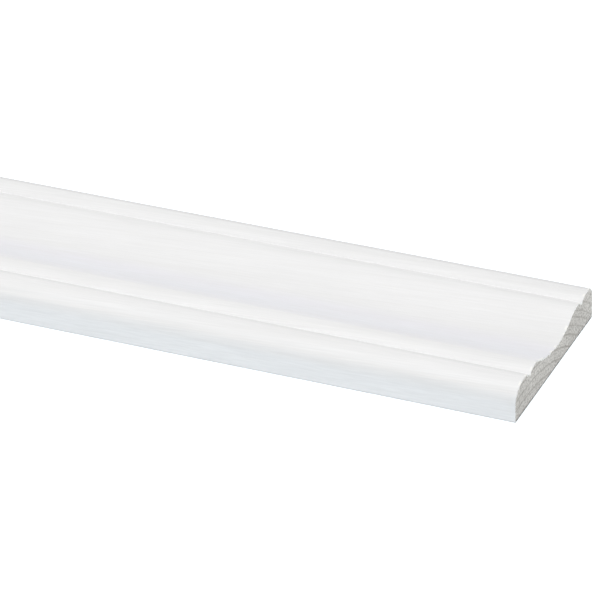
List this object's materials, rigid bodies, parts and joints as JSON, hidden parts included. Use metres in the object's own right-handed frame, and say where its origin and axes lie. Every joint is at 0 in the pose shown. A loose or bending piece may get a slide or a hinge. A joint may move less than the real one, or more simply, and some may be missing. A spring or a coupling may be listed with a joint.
{
  "type": "wooden moulding",
  "caption": "Short length of white-primed softwood moulding with a half-round nose, a wide hollow and a bead, cut square at both ends and flat at the back.",
  "frame": {"origin": "middle of the flat back, halfway along the length", "axes": "+X along the length, towards the end whose sawn grain the picture shows; -Y is the edge with the broad half-round nose; +Z out of the moulded face"},
  "size_m": [0.22, 0.07, 0.012],
  "materials": {
    "primed_pine": "white primer, sprayed over planed pine; the two sawn ends and the back show bare wood"
  },
  "bodies": {
    "root": {"moulding": "primed_pine"}
  },
  "joints": []
}
